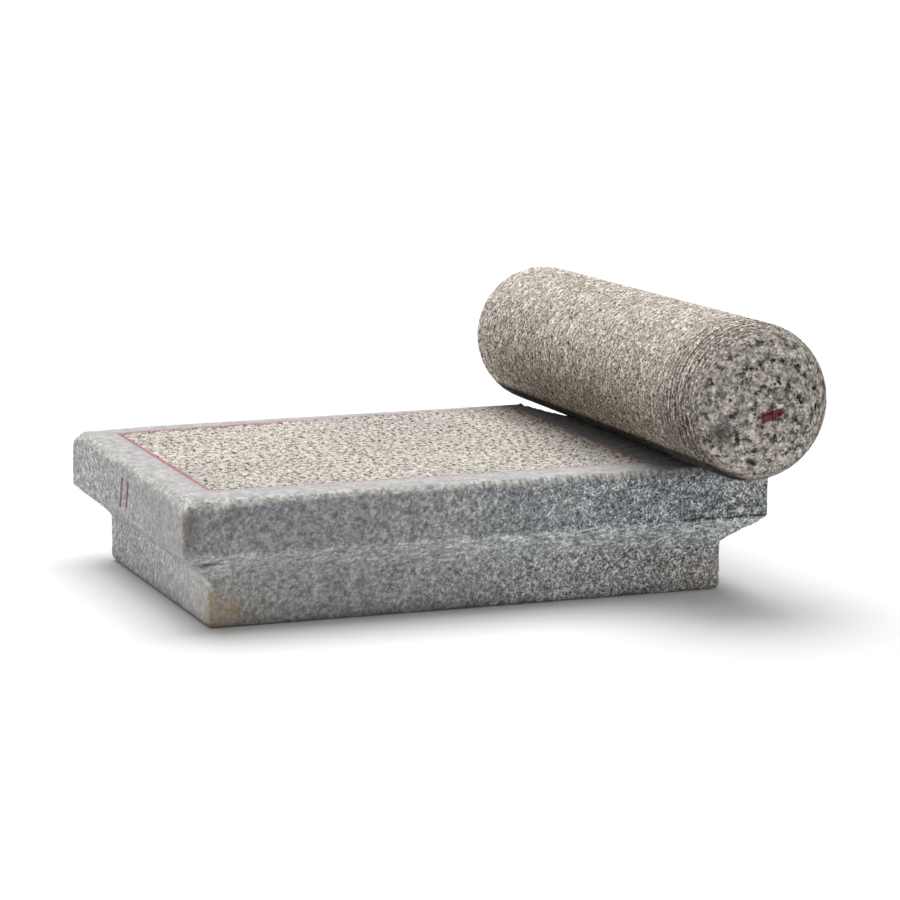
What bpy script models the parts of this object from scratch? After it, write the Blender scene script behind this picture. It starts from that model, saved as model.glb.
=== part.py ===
"""Granite saddle quern: a grinding slab on its own plinth, with a roller stone lying across it.

The slab and its plinth are one stone. The roller only rests on the slab.
Metres, +Z up, +X along the slab, origin under the middle of the plinth.
"""
import math

import bmesh
import bpy
from mathutils import Matrix, Vector

# Slab: upper block
SLAB_LENGTH = 0.254
SLAB_WIDTH = 0.1635
BLOCK_WALL_HEIGHT = 0.023
FACE_RISE_TO_FAR_SIDE = 0.0008
BLOCK_CORNER_RADIUS = 0.0016
BLOCK_LOWER_ARRIS = 0.0012
TOP_ARRIS_RADIUS = 0.0030
WORN_CORNER_EXTRA = 0.0022
WORN_CORNER_REACH = 0.024

# Slab: undercut and plinth
UNDERCUT_RISE = 0.0115
PLINTH_HEIGHT = 0.0205
PLINTH_SETBACK_LEFT = 0.0136
PLINTH_SETBACK_RIGHT = 0.0160
PLINTH_SETBACK_LONG_SIDES = 0.0118
PLINTH_CORNER_RADIUS = 0.0020
PLINTH_FOOT_ROUNDING = 0.0028
NECK_FILLET = 0.0012

# Spall broken from the far right of the top edge
SPALL_REACH_ALONG_EDGE = 0.0450
SPALL_REACH_INWARDS = 0.0520
SPALL_DEPTH = 0.0076
SPALL_BOWL_RISE = 0.0080
SPALL_BOWL_OVERSHOOT = 0.0060

# Roller stone
ROLLER_LENGTH = 0.2448
ROLLER_NEAR_DIAMETER = 0.0650
ROLLER_FAR_DIAMETER = 0.0609
ROLLER_DOME_DEPTH = 0.0240
ROLLER_DOME_FULLNESS = 2.05
ROLLER_FRONT_OVERHANG = 0.0558
ROLLER_SETBACK_FROM_RIGHT_END = 0.0297
ROLLER_YAW_DEGREES = 2.7
RESTING_GAP = 0.0003

# Fineness of the rounded stretches
CORNER_STEPS = 5
LONG_SIDE_STEPS = 14
SHORT_SIDE_STEPS = 9
ARRIS_STEPS = 4
ROLLER_AROUND = 64
ROLLER_DOME_STEPS = 9
ROLLER_BODY_STEPS = 6

SLAB_HEIGHT = PLINTH_HEIGHT + UNDERCUT_RISE + BLOCK_WALL_HEIGHT


def clear_scene():
    """Remove every object that the file starts with."""
    for old in list(bpy.data.objects):
        bpy.data.objects.remove(old, do_unlink=True)


def make_stone(name, colour, roughness):
    """A plain Principled stone of one colour."""
    material = bpy.data.materials.new(name)
    material.use_nodes = True
    shader = material.node_tree.nodes["Principled BSDF"]
    shader.inputs["Base Color"].default_value = (*colour, 1.0)
    shader.inputs["Roughness"].default_value = roughness
    shader.inputs["Metallic"].default_value = 0.0
    return material


def straight_run(start, end, steps):
    """Points from start up to, but not at, end."""
    return [start.lerp(end, step / steps) for step in range(steps)]


def corner_arc(centre, radius, start_angle):
    """A quarter circle turning left from start_angle, without its last point."""
    points = []
    for step in range(CORNER_STEPS):
        angle = start_angle + 0.5 * math.pi * step / CORNER_STEPS
        points.append(centre + radius * Vector((math.cos(angle), math.sin(angle))))
    return points


def outline(left, right, long_sides, corner_radius):
    """The slab's plan drawn in by a setback at each side, as one loop of plan points.

    Every call gives the same number of points in the same order, so loops at
    different heights can be bridged.
    """
    low = Vector((left, long_sides))
    high = Vector((SLAB_LENGTH - right, SLAB_WIDTH - long_sides))
    radius = max(corner_radius, 0.0002)
    inner_low = low + Vector((radius, radius))
    inner_high = high - Vector((radius, radius))
    front_left = Vector((inner_low.x, low.y))
    front_right = Vector((inner_high.x, low.y))
    right_front = Vector((high.x, inner_low.y))
    right_back = Vector((high.x, inner_high.y))
    back_right = Vector((inner_high.x, high.y))
    back_left = Vector((inner_low.x, high.y))
    left_back = Vector((low.x, inner_high.y))
    left_front = Vector((low.x, inner_low.y))
    quarter = 0.5 * math.pi
    points = straight_run(front_left, front_right, LONG_SIDE_STEPS)
    points += corner_arc(Vector((inner_high.x, inner_low.y)), radius, -quarter)
    points += straight_run(right_front, right_back, SHORT_SIDE_STEPS)
    points += corner_arc(inner_high, radius, 0.0)
    points += straight_run(back_right, back_left, LONG_SIDE_STEPS)
    points += corner_arc(Vector((inner_low.x, inner_high.y)), radius, quarter)
    points += straight_run(left_back, left_front, SHORT_SIDE_STEPS)
    points += corner_arc(inner_low, radius, 2.0 * quarter)
    return points


def eased_corner(start, corner, end, steps):
    """A parabola through start and end that is drawn towards corner."""
    points = []
    for step in range(steps + 1):
        share = step / steps
        points.append(start.lerp(corner, share).lerp(corner.lerp(end, share), share))
    return points


def side_profile():
    """The slab's side as pairs of plinth share and height, from the foot to the top arris.

    The share is 1 on the plinth's wall and 0 on the upper block's wall.
    """
    slope_start = Vector((1.0, PLINTH_HEIGHT))
    slope_end = Vector((0.0, PLINTH_HEIGHT + UNDERCUT_RISE))
    fillet_share = NECK_FILLET / UNDERCUT_RISE
    arris_share = BLOCK_LOWER_ARRIS / UNDERCUT_RISE
    below_neck = slope_start - Vector((0.0, NECK_FILLET))
    above_neck = slope_start.lerp(slope_end, fillet_share)
    below_arris = slope_end.lerp(slope_start, arris_share)
    above_arris = slope_end + Vector((0.0, BLOCK_LOWER_ARRIS))
    profile = eased_corner(below_neck, slope_start, above_neck, ARRIS_STEPS)
    profile += eased_corner(below_arris, slope_end, above_arris, ARRIS_STEPS)
    return [(point.x, point.y) for point in profile]


def blended_outline(plinth_share, extra_setback):
    """The plan between the upper block's, at 0, and the plinth's, at 1."""
    radius = BLOCK_CORNER_RADIUS + (PLINTH_CORNER_RADIUS - BLOCK_CORNER_RADIUS) * plinth_share
    return outline(
        PLINTH_SETBACK_LEFT * plinth_share + extra_setback,
        PLINTH_SETBACK_RIGHT * plinth_share + extra_setback,
        PLINTH_SETBACK_LONG_SIDES * plinth_share + extra_setback,
        radius - extra_setback,
    )


def face_height(across):
    """The grinding face's height, which rises a little from the near side to the far one."""
    return SLAB_HEIGHT + FACE_RISE_TO_FAR_SIDE * across / SLAB_WIDTH


def arris_radius(plan_point):
    """The rounding of the top edge, which is worn wider towards the four corners."""
    to_end = min(plan_point.x, SLAB_LENGTH - plan_point.x)
    to_side = min(plan_point.y, SLAB_WIDTH - plan_point.y)
    distance = math.hypot(max(to_end, 0.0), max(to_side, 0.0))
    return TOP_ARRIS_RADIUS + WORN_CORNER_EXTRA * math.exp(-((distance / WORN_CORNER_REACH) ** 2))


def foot_loops():
    """Loops that round the plinth's lower edge, from the underside up."""
    loops = []
    for step in range(ARRIS_STEPS):
        angle = 0.5 * math.pi * step / ARRIS_STEPS
        setback = PLINTH_FOOT_ROUNDING * (1.0 - math.sin(angle))
        height = PLINTH_FOOT_ROUNDING * (1.0 - math.cos(angle))
        loops.append([point.to_3d() + Vector((0.0, 0.0, height)) for point in blended_outline(1.0, setback)])
    return loops


def wall_loops():
    """Loops up the plinth's wall, the undercut and the upper block's wall."""
    loops = []
    for share, height in [(1.0, PLINTH_FOOT_ROUNDING)] + side_profile():
        loops.append([point.to_3d() + Vector((0.0, 0.0, height)) for point in blended_outline(share, 0.0)])
    return loops


def top_arris_loops():
    """Loops that round the top edge, each point by its own radius."""
    block = blended_outline(0.0, 0.0)
    widest = TOP_ARRIS_RADIUS + WORN_CORNER_EXTRA
    drawn_in = blended_outline(0.0, widest)
    loops = []
    for step in range(ARRIS_STEPS + 1):
        angle = 0.5 * math.pi * step / ARRIS_STEPS
        loop = []
        for outer, inner in zip(block, drawn_in):
            radius = arris_radius(outer)
            setback = radius * (1.0 - math.cos(angle))
            point = outer.lerp(inner, setback / widest)
            height = face_height(point.y) - radius * (1.0 - math.sin(angle))
            loop.append(point.to_3d() + Vector((0.0, 0.0, height)))
        loops.append(loop)
    return loops


def loft(name, loops, material):
    """A closed body through the loops, with a flat face over the first and the last."""
    mesh = bpy.data.meshes.new(name)
    shape = bmesh.new()
    rows = [[shape.verts.new(point) for point in loop] for loop in loops]
    around = len(loops[0])
    for lower, upper in zip(rows, rows[1:]):
        for index in range(around):
            after = (index + 1) % around
            shape.faces.new((lower[index], lower[after], upper[after], upper[index]))
    shape.faces.new(list(reversed(rows[0])))
    shape.faces.new(rows[-1])
    bmesh.ops.recalc_face_normals(shape, faces=shape.faces)
    shape.to_mesh(mesh)
    shape.free()
    mesh.shade_smooth()
    mesh.set_sharp_from_angle(angle=math.radians(35.0))
    mesh.materials.append(material)
    body = bpy.data.objects.new(name, mesh)
    bpy.context.scene.collection.objects.link(body)
    return body


def spall_cutter():
    """A shallow bowl centred just outside the far edge, whose rim breaks the right end too."""
    bowl_height = SPALL_DEPTH + SPALL_BOWL_RISE
    rim_share = math.sqrt(1.0 - (SPALL_BOWL_RISE / bowl_height) ** 2)
    half_along = 0.5 * (SPALL_REACH_ALONG_EDGE + SPALL_BOWL_OVERSHOOT) / rim_share
    half_inwards = (SPALL_REACH_INWARDS + SPALL_BOWL_OVERSHOOT) / rim_share
    shape = bmesh.new()
    bmesh.ops.create_icosphere(shape, subdivisions=3, radius=1.0)
    mesh = bpy.data.meshes.new("spall_cutter")
    shape.to_mesh(mesh)
    shape.free()
    centre = Vector((
        SLAB_LENGTH - SPALL_REACH_ALONG_EDGE + half_along * rim_share,
        SLAB_WIDTH + SPALL_BOWL_OVERSHOOT,
        face_height(SLAB_WIDTH) + SPALL_BOWL_RISE,
    ))
    mesh.transform(Matrix.Translation(centre) @ Matrix.Diagonal((half_along, half_inwards, bowl_height, 1.0)))
    cutter = bpy.data.objects.new("spall_cutter", mesh)
    bpy.context.scene.collection.objects.link(cutter)
    cutter.hide_render = True
    cutter.display_type = "WIRE"
    return cutter


def build_slab(material, frame_shift):
    """The grinding slab: block, undercut and plinth in one stone, with its broken far edge."""
    slab = loft("grinding_slab", foot_loops() + wall_loops() + top_arris_loops(), material)
    spall = slab.modifiers.new("broken_edge", "BOOLEAN")
    spall.operation = "DIFFERENCE"
    spall.solver = "EXACT"
    cutter = spall_cutter()
    spall.object = cutter
    for piece in (slab, cutter):
        piece.location = frame_shift
    return slab


def roller_sections():
    """Pairs of distance from the near tip and radius, tip to tip but without the tips."""
    body_start = ROLLER_DOME_DEPTH
    body_end = ROLLER_LENGTH - ROLLER_DOME_DEPTH
    body_length = body_end - body_start

    def body_radius(distance):
        share = (distance - body_start) / body_length
        return 0.5 * (ROLLER_NEAR_DIAMETER + (ROLLER_FAR_DIAMETER - ROLLER_NEAR_DIAMETER) * share)

    near_dome = []
    far_dome = []
    for step in range(1, ROLLER_DOME_STEPS):
        angle = 0.5 * math.pi * step / ROLLER_DOME_STEPS
        depth = ROLLER_DOME_DEPTH * (1.0 - math.cos(angle))
        inwards = 1.0 - depth / ROLLER_DOME_DEPTH
        share = (1.0 - inwards ** ROLLER_DOME_FULLNESS) ** (1.0 / ROLLER_DOME_FULLNESS)
        near_dome.append((depth, share * body_radius(body_start)))
        far_dome.append((ROLLER_LENGTH - depth, share * body_radius(body_end)))
    body = []
    for step in range(ROLLER_BODY_STEPS + 1):
        distance = body_start + body_length * step / ROLLER_BODY_STEPS
        body.append((distance, body_radius(distance)))
    return near_dome + body + list(reversed(far_dome))


def roller_loops():
    """Rings about the roller's own axis, which lies along Y with its middle at the origin."""
    loops = []
    for distance, radius in roller_sections():
        loop = []
        for index in range(ROLLER_AROUND):
            angle = 2.0 * math.pi * index / ROLLER_AROUND
            across = radius * math.cos(angle)
            upwards = radius * math.sin(angle)
            loop.append(Vector((across, distance - 0.5 * ROLLER_LENGTH, upwards)))
        loops.append(loop)
    return loops


def build_roller(material, frame_shift):
    """The roller stone, tilted by its taper and the face's rise so that its lowest line lies on the slab."""
    roller = loft("roller_stone", roller_loops(), material)
    body_length = ROLLER_LENGTH - 2.0 * ROLLER_DOME_DEPTH
    taper_angle = math.atan2(0.5 * (ROLLER_NEAR_DIAMETER - ROLLER_FAR_DIAMETER), body_length)
    face_angle = math.atan2(FACE_RISE_TO_FAR_SIDE, SLAB_WIDTH)
    middle_radius = 0.25 * (ROLLER_NEAR_DIAMETER + ROLLER_FAR_DIAMETER)
    middle_across = 0.5 * ROLLER_LENGTH - ROLLER_FRONT_OVERHANG
    place = Vector((
        SLAB_LENGTH - ROLLER_SETBACK_FROM_RIGHT_END,
        middle_across,
        face_height(middle_across) + RESTING_GAP + middle_radius * math.cos(taper_angle) / math.cos(face_angle),
    ))
    roller.rotation_euler = (face_angle - taper_angle, 0.0, math.radians(ROLLER_YAW_DEGREES))
    roller.location = place + frame_shift
    return roller


def main():
    """Build both stones about the middle of the plinth's underside."""
    clear_scene()
    plinth_middle = 0.5 * (PLINTH_SETBACK_LEFT + SLAB_LENGTH - PLINTH_SETBACK_RIGHT)
    frame_shift = Vector((-plinth_middle, -0.5 * SLAB_WIDTH, 0.0))
    slab_stone = make_stone("slab_granite", (0.36, 0.36, 0.35), 0.85)
    roller_granite = make_stone("roller_granite", (0.48, 0.43, 0.36), 0.88)
    build_slab(slab_stone, frame_shift)
    build_roller(roller_granite, frame_shift)


main()
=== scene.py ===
"""The looks of a granite saddle quern: a grinding slab on its plinth, with a roller stone across it.

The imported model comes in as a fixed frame. Each stone is made again as a finer mesh that carries its
pecked and chiselled relief, gets its own procedural granite, and stands for its solid. Metres, +Z up.
"""
import functools
import logging
import math
from dataclasses import dataclass
from enum import Enum
from typing import Any, Iterable

import bpy
import numpy as np
from mathutils import Matrix, Vector


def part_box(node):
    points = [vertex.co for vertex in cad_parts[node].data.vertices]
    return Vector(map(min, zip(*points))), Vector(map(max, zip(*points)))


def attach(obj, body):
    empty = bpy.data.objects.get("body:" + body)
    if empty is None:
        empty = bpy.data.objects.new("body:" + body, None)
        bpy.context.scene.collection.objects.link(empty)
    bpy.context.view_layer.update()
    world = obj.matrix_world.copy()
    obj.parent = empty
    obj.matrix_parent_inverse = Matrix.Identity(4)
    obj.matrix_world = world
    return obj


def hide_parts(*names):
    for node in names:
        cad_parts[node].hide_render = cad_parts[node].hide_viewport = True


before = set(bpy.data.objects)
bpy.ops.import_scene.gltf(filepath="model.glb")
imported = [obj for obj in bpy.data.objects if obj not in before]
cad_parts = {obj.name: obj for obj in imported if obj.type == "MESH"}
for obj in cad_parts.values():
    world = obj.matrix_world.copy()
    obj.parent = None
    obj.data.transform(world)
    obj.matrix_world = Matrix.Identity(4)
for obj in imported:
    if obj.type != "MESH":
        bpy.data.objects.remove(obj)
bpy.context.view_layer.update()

MM = 0.001
STONE_SHEEN = 0.32

log = logging.getLogger("quern")


class Attribute(Enum):
    """Names of the zones that the stones' meshes carry from their making to their materials."""

    FACE = "face_zone"
    ARRIS = "arris_zone"
    UNDERCUT = "undercut_zone"
    PLINTH = "plinth_zone"
    END = "end_zone"


class Wear(Enum):
    """How much of a brush stroke has rubbed off, as the level of noise that still holds paint."""

    FRESH = 0.30
    RUBBED = 0.42


def paint_chip(red: int, green: int, blue: int) -> tuple[float, float, float, float]:
    """A screen chip's colour as the linear colour that shaders take.

    Args:
        red: the chip's red, 0 to 255.
        green: its green.
        blue: its blue.

    Returns:
        The linear colour, solid.
    """
    linear = []
    for level in (red, green, blue):
        share = level / 255.0
        linear.append(share / 12.92 if share <= 0.04045 else ((share + 0.055) / 1.055) ** 2.4)
    return (*linear, 1.0)


class Value:
    """A number that a node gives out, so that masks and depths can be written as plain arithmetic."""

    def __init__(self, graph: "NodeGraph", socket: bpy.types.NodeSocket) -> None:
        """Keep the socket and the graph that it belongs to."""
        self.graph = graph
        self.socket = socket

    def __add__(self, other: Any) -> "Value":
        """This number plus another."""
        return self.graph.math("ADD", self, other)

    def __sub__(self, other: Any) -> "Value":
        """This number less another."""
        return self.graph.math("SUBTRACT", self, other)

    def __rsub__(self, other: Any) -> "Value":
        """Another number less this one."""
        return self.graph.math("SUBTRACT", other, self)

    def __mul__(self, other: Any) -> "Value":
        """This number times another."""
        return self.graph.math("MULTIPLY", self, other)

    def __truediv__(self, other: Any) -> "Value":
        """This number over another."""
        return self.graph.math("DIVIDE", self, other)

    def __rtruediv__(self, other: Any) -> "Value":
        """Another number over this one."""
        return self.graph.math("DIVIDE", other, self)

    def __abs__(self) -> "Value":
        """This number without its sign."""
        return self.graph.math("ABSOLUTE", self)


class NodeGraph:
    """A shader or geometry node tree while it is being wired."""

    def __init__(self, tree: bpy.types.NodeTree) -> None:
        """Keep the tree that nodes are added to."""
        self.tree = tree

    def feed(self, socket: bpy.types.NodeSocket, value: Any) -> None:
        """Link another socket into this one, or set its plain value.

        Args:
            socket: the input to fill.
            value: a node's number, an output socket, a plain value, or None to leave the default.
        """
        source = value.socket if isinstance(value, Value) else value
        if isinstance(source, bpy.types.NodeSocket):
            self.tree.links.new(source, socket)
        elif value is not None:
            socket.default_value = value

    def add(self, kind: str, inputs: dict[Any, Any] | None = None, **settings: Any) -> bpy.types.Node:
        """Add one node.

        Args:
            kind: the node's type name.
            inputs: values or sockets by input name or index.
            settings: the node's own properties.

        Returns:
            The new node.
        """
        node = self.tree.nodes.new(kind)
        for name, value in settings.items():
            setattr(node, name, value)
        for key, value in (inputs or {}).items():
            self.feed(node.inputs[key], value)
        return node

    def named(self, node: bpy.types.Node) -> dict[str, Value]:
        """A node's outputs by name."""
        return {socket.name: Value(self, socket) for socket in node.outputs}

    def math(self, operation: str, *values: Any, clamp: bool = False) -> Value:
        """One arithmetic step.

        Args:
            operation: the step's type name.
            values: plain numbers or nodes' numbers.
            clamp: True to keep the result from 0 to 1.

        Returns:
            The result.
        """
        node = self.add("ShaderNodeMath", dict(enumerate(values)), operation=operation, use_clamp=clamp)
        return Value(self, node.outputs[0])

    def vector(self, operation: str, *values: Any) -> bpy.types.NodeSocket:
        """One arithmetic step on vectors that gives a vector."""
        node = self.add("ShaderNodeVectorMath", dict(enumerate(values)), operation=operation)
        return node.outputs["Vector"]

    def measured(self, operation: str, *values: Any) -> Value:
        """One arithmetic step on vectors that gives a number, such as a length or a dot product."""
        node = self.add("ShaderNodeVectorMath", dict(enumerate(values)), operation=operation)
        return Value(self, node.outputs["Value"])

    def scaled(self, vector: Any, factor: Any) -> bpy.types.NodeSocket:
        """A vector times a number."""
        return self.add("ShaderNodeVectorMath", {0: vector, "Scale": factor}, operation="SCALE").outputs[0]

    def split(self, vector: Any) -> tuple[Value, ...]:
        """A vector's three parts."""
        return tuple(self.named(self.add("ShaderNodeSeparateXYZ", {0: vector})).values())

    def joined(self, x: Any = 0.0, y: Any = 0.0, z: Any = 0.0) -> bpy.types.NodeSocket:
        """A vector from three parts."""
        return self.add("ShaderNodeCombineXYZ", {0: x, 1: y, 2: z}).outputs[0]

    def step(self, value: Any, start: Any, end: Any, low: Any = 0.0, high: Any = 1.0) -> Value:
        """A smooth rise from low, where value is start, to high, where it is end."""
        node = self.add("ShaderNodeMapRange", dict(enumerate((value, start, end, low, high))),
                        interpolation_type="SMOOTHSTEP")
        return Value(self, node.outputs[0])

    def noise(self, vector: Any, scale: Any, detail: float = 2.0, roughness: float = 0.5,
              distortion: float = 0.0) -> Value:
        """Fractal noise from 0 to 1 about 0.5.

        Args:
            vector: the point looked at.
            scale: how many swings fit in a metre.
            detail: how many finer layers are added.
            roughness: how strong the finer layers are.
            distortion: how far the layers are pulled about.

        Returns:
            The noise.
        """
        inputs = {"Vector": vector, "Scale": scale, "Detail": detail, "Roughness": roughness,
                  "Distortion": distortion}
        return Value(self, self.add("ShaderNodeTexNoise", inputs).outputs[0])

    def cells(self, vector: Any, scale: Any) -> Value:
        """The distance to the nearest of many scattered points, in cell sizes."""
        return self.named(self.add("ShaderNodeTexVoronoi", {"Vector": vector, "Scale": scale}))["Distance"]

    def either(self, factor: Any, first: Any, second: Any) -> Value:
        """The first number where factor is 0, the second where it is 1."""
        inputs = {0: factor, 2: first, 3: second}
        return Value(self, self.add("ShaderNodeMix", inputs, data_type="FLOAT").outputs[0])

    def tint(self, factor: Any, base: Any, over: Any, blend: str = "MIX") -> bpy.types.NodeSocket:
        """One colour laid over another."""
        inputs = {0: factor, 6: base, 7: over}
        return self.add("ShaderNodeMix", inputs, data_type="RGBA", blend_type=blend).outputs[2]


def new_socket(tree: bpy.types.NodeTree, name: str, kind: str, incoming: bool = True,
               value: Any = None) -> None:
    """Give a node tree one named input or output.

    Args:
        tree: the tree to extend.
        name: the socket's name.
        kind: Float, Vector, Color, Geometry, Material or Rotation.
        incoming: True for an input.
        value: the input's starting value.
    """
    socket = tree.interface.new_socket(
        name=name, in_out="INPUT" if incoming else "OUTPUT", socket_type=f"NodeSocket{kind}")
    if value is not None:
        socket.default_value = value


def pecked(graph: NodeGraph, place: Any, size: float | Value) -> Value:
    """The pits of a pecking point on a flat face, the same in a mesh and in its colour.

    Args:
        graph: the tree being wired.
        place: the point in the stone.
        size: the distance from pit to pit.

    Returns:
        1 on a pit's floor, 0 on the ridges between.
    """
    scale = 1.0 / size
    broad = graph.noise(place, scale, detail=3.0, roughness=0.62, distortion=0.3)
    pits = graph.step(broad, 0.53, 0.35)
    holes = graph.step(graph.cells(place, scale * 0.9), 0.36, 0.12)
    return graph.math("MAXIMUM", pits, holes * 0.85)


def dressed(graph: NodeGraph, place: Any) -> Value:
    """Leaning chisel marks on an upright face.

    Args:
        graph: the tree being wired.
        place: the point in the stone.

    Returns:
        1 in the marks, 0 between them.
    """
    x, y, z = graph.split(place)
    lean = x - z * 0.6
    drawn = graph.joined(lean, y, z * 0.65)
    return graph.step(graph.noise(drawn, 400.0, detail=4.0, roughness=0.66), 0.62, 0.36)


def streaked(graph: NodeGraph, place: Any, end_wall: Any) -> Value:
    """Long chisel strokes on the undercut, which rise a little along each side.

    Args:
        graph: the tree being wired.
        place: the point in the stone.
        end_wall: 1 on the slab's two ends, 0 on its long sides.

    Returns:
        1 in the strokes, 0 between them.
    """
    x, y, z = graph.split(place)
    along = graph.either(end_wall, x, y)
    rising = z - along * 0.22
    drawn = graph.joined(along * 0.17, graph.either(end_wall, y, x), rising)
    return graph.step(graph.noise(drawn, 560.0, detail=3.0, roughness=0.64), 0.60, 0.38)


def wound(graph: NodeGraph, own: Any) -> Value:
    """Pecking drawn out round the roller.

    Args:
        graph: the tree being wired.
        own: the point in the roller's own coordinates.

    Returns:
        1 in the marks, 0 between them.
    """
    x, y, z = graph.split(own)
    drawn = graph.joined(x * 0.36, y, z * 0.36)
    marks = graph.step(graph.noise(drawn, 760.0, detail=3.0, roughness=0.68, distortion=0.15), 0.55, 0.36)
    holes = graph.step(graph.cells(drawn, 460.0), 0.30, 0.08)
    return graph.math("MAXIMUM", marks, holes)


def blotched(graph: NodeGraph, own: Any) -> Value:
    """Coarse pits of the roller's ends: 1 in a pit, 0 between them."""
    return graph.step(graph.noise(own, 330.0, detail=4.0, roughness=0.68), 0.50, 0.37)


class StonePatterns:
    """The shader node groups that both stones share."""

    def __init__(self) -> None:
        """Build each group once."""
        self.grain = self._build_grain()
        self.skin = self._build_skin()
        self.stroke = self._build_stroke()
        self.stain = self._build_stain()

    @staticmethod
    def _group(name: str, inputs: dict[str, tuple[str, Any]], outputs: Iterable[str]) -> tuple[Any, ...]:
        """An empty shader group.

        Args:
            name: the group's name.
            inputs: input name to its kind and starting value.
            outputs: names of the outputs, all of them numbers.

        Returns:
            The tree, its graph, its inputs by name and its output node's sockets.
        """
        tree = bpy.data.node_groups.new(name, "ShaderNodeTree")
        for socket_name, (kind, value) in inputs.items():
            new_socket(tree, socket_name, kind, value=value)
        for socket_name in outputs:
            new_socket(tree, socket_name, "Float", incoming=False)
        graph = NodeGraph(tree)
        given = graph.named(graph.add("NodeGroupInput"))
        return tree, graph, given, graph.add("NodeGroupOutput").inputs

    def _build_grain(self) -> bpy.types.NodeTree:
        """Granite's crystals.

        Returns:
            The group, which gives a running tone, a mask for dark grains and a slow mottle.
        """
        tree, graph, given, result = self._group(
            "granite_grain",
            {"Vector": ("Vector", None), "Grain": ("Float", 1.4 * MM), "Dark Level": ("Float", 0.40)},
            ("Tone", "Dark", "Mottle"))
        scale = 1.0 / given["Grain"]
        fine = graph.noise(given["Vector"], scale, detail=2.0, roughness=0.60)
        shifted = graph.vector("ADD", given["Vector"], (0.31, 0.17, 0.53))
        crystal = graph.noise(shifted, scale * 1.2, detail=3.0, roughness=0.6)
        level = given["Dark Level"]
        graph.feed(result["Tone"], graph.step(fine, 0.35, 0.65))
        graph.feed(result["Dark"], graph.step(crystal, level + 0.035, level - 0.035))
        graph.feed(result["Mottle"], graph.noise(given["Vector"], scale * 0.08, detail=3.0))
        return tree

    def _build_skin(self) -> bpy.types.NodeTree:
        """The finest roughness of the stone.

        Returns:
            The group, which gives a height.
        """
        tree, graph, given, result = self._group(
            "stone_skin", {"Vector": ("Vector", None), "Grain": ("Float", 1.0 * MM)}, ("Height",))
        scale = 1.0 / given["Grain"]
        bumps = graph.noise(given["Vector"], scale, detail=4.0, roughness=0.65)
        pores = graph.cells(given["Vector"], scale * 0.7)
        pore_floor = graph.step(pores, 0.35, 0.08)
        graph.feed(result["Height"], bumps - pore_floor * 0.6)
        return tree

    def _build_stroke(self) -> bpy.types.NodeTree:
        """A brush stroke on rough stone, from the distances across and past its ends.

        Returns:
            The group, which gives the mask of the paint.
        """
        tree, graph, given, result = self._group(
            "brush_stroke",
            {"Vector": ("Vector", None), "Across": ("Float", 0.0), "Beyond End": ("Float", 0.0),
             "Width": ("Float", 1.5 * MM), "Wear": ("Float", 0.4)},
            ("Paint",))
        ragged = graph.noise(given["Vector"], 600.0, detail=3.0)
        wobble = (ragged - 0.5) * (1.6 * MM)
        edge = abs(given["Across"]) + wobble
        half = given["Width"] * 0.5
        body = graph.step(edge, half + 0.35 * MM, half - 0.35 * MM)
        ends = graph.step(given["Beyond End"] + wobble, 0.7 * MM, -0.7 * MM)
        worn = graph.noise(given["Vector"], 260.0, detail=4.0, roughness=0.68)
        held = graph.step(worn, given["Wear"] - 0.10, given["Wear"] + 0.10)
        graph.feed(result["Paint"], body * ends * held)
        return tree

    def _build_stain(self) -> bpy.types.NodeTree:
        """A soft, broken patch about a centre.

        Returns:
            The group, which gives the mask of the patch.
        """
        tree, graph, given, result = self._group(
            "soaked_stain",
            {"Vector": ("Vector", None), "Centre": ("Vector", None),
             "Spread": ("Vector", (0.01, 0.01, 0.01)), "Break Up": ("Float", 0.5)},
            ("Stain",))
        offset = graph.vector("SUBTRACT", given["Vector"], given["Centre"])
        distance = graph.measured("LENGTH", graph.vector("DIVIDE", offset, given["Spread"]))
        broken = graph.noise(given["Vector"], 200.0, detail=4.0, roughness=0.65)
        swing = (broken - 0.5) * given["Break Up"]
        ragged = distance + swing * 3.0
        graph.feed(result["Stain"], graph.step(ragged, 1.15, 0.15))
        return tree


@dataclass(frozen=True)
class SlabFinish:
    """The slab's stone colours, as maker's chips, and its roughness."""

    pecked_ridge: tuple[float, ...] = paint_chip(226, 218, 207)
    pecked_grey: tuple[float, ...] = paint_chip(200, 196, 190)
    pecked_pit: tuple[float, ...] = paint_chip(82, 73, 64)
    border: tuple[float, ...] = paint_chip(192, 189, 189)
    lilac: tuple[float, ...] = paint_chip(182, 168, 180)
    bruised: tuple[float, ...] = paint_chip(210, 208, 203)
    wall: tuple[float, ...] = paint_chip(169, 170, 170)
    end_wall: tuple[float, ...] = paint_chip(201, 199, 199)
    undercut: tuple[float, ...] = paint_chip(193, 196, 195)
    # painted light: lighter than the wall's chip, in place of the light that the block's overhang keeps off
    # the plinth
    plinth: tuple[float, ...] = paint_chip(194, 193, 191)
    dark_grain: tuple[float, ...] = paint_chip(44, 46, 50)
    slate_blue: tuple[float, ...] = paint_chip(146, 162, 172)
    rust: tuple[float, ...] = paint_chip(196, 168, 128)
    grime: tuple[float, ...] = paint_chip(104, 94, 82)
    crack: tuple[float, ...] = paint_chip(40, 42, 44)
    paint: tuple[float, ...] = paint_chip(172, 70, 98)
    old_paint: tuple[float, ...] = paint_chip(138, 48, 84)
    roughness: float = 0.86


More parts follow.
